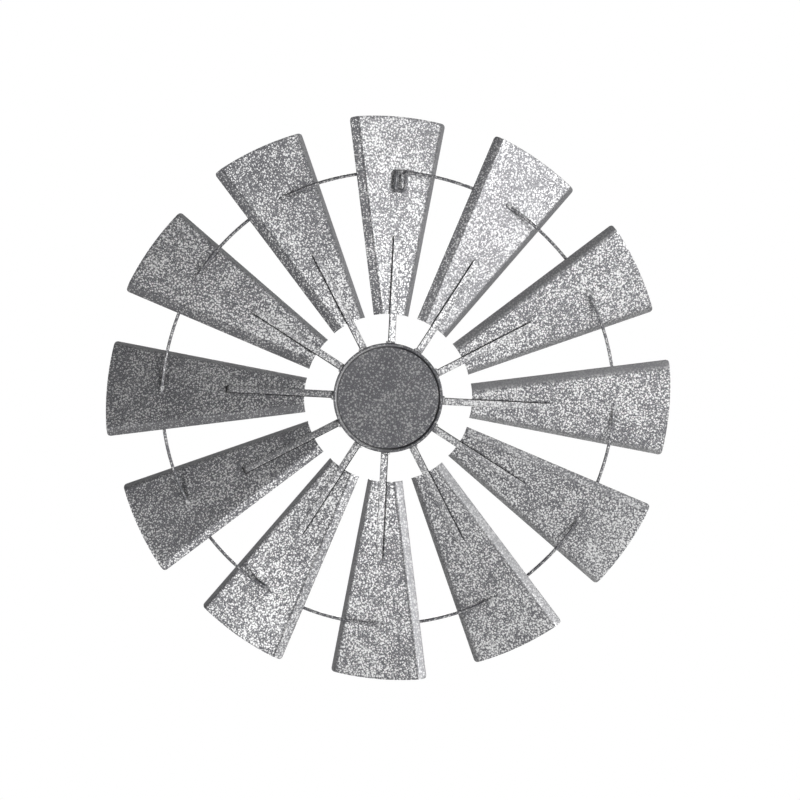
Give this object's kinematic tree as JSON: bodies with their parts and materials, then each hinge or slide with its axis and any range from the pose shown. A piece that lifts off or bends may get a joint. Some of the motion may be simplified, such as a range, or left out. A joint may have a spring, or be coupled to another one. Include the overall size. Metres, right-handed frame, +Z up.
{
  "type": "garden windmill wheel",
  "caption": "Galvanised windmill wheel for a garden wall or fence: pitched sheet blades round a closed hub, tied by a wire hoop, with a wire hanging eye.",
  "frame": {"origin": "on the wheel's axis, midway through its depth", "axes": "+Y along the wheel's axis, out of the front; -Y is the rear, which has the spokes and the hanging eye and faces the wall; +Z up, through the top blade and its hanging eye; +X to the right as seen from the rear"},
  "size_m": [0.61, 0.0438, 0.61],
  "materials": {
    "blade_sheet": "hot-dip galvanised, mottled grey with fine pale flecks",
    "spoke_bar": "hot-dip galvanised, mottled grey with fine pale flecks",
    "hub_metal": "hot-dip galvanised, mottled grey with fine pale flecks",
    "wire": "hot-dip galvanised, mottled grey with fine pale flecks"
  },
  "bodies": {
    "root": {"blade_01": "blade_sheet", "blade_02": "blade_sheet", "blade_03": "blade_sheet", "blade_04": "blade_sheet", "blade_05": "blade_sheet", "blade_06": "blade_sheet", "blade_07": "blade_sheet", "blade_08": "blade_sheet", "blade_09": "blade_sheet", "blade_10": "blade_sheet", "blade_11": "blade_sheet", "blade_12": "blade_sheet", "spoke_01": "spoke_bar", "spoke_02": "spoke_bar", "spoke_03": "spoke_bar", "spoke_04": "spoke_bar", "spoke_05": "spoke_bar", "spoke_06": "spoke_bar", "spoke_07": "spoke_bar", "spoke_08": "spoke_bar", "spoke_09": "spoke_bar", "spoke_10": "spoke_bar", "spoke_11": "spoke_bar", "spoke_12": "spoke_bar", "hub_band": "hub_metal", "hub_lid_front": "hub_metal", "hub_lid_rear": "hub_metal", "hoop": "wire", "hanging_eye": "wire"}
  },
  "joints": []
}
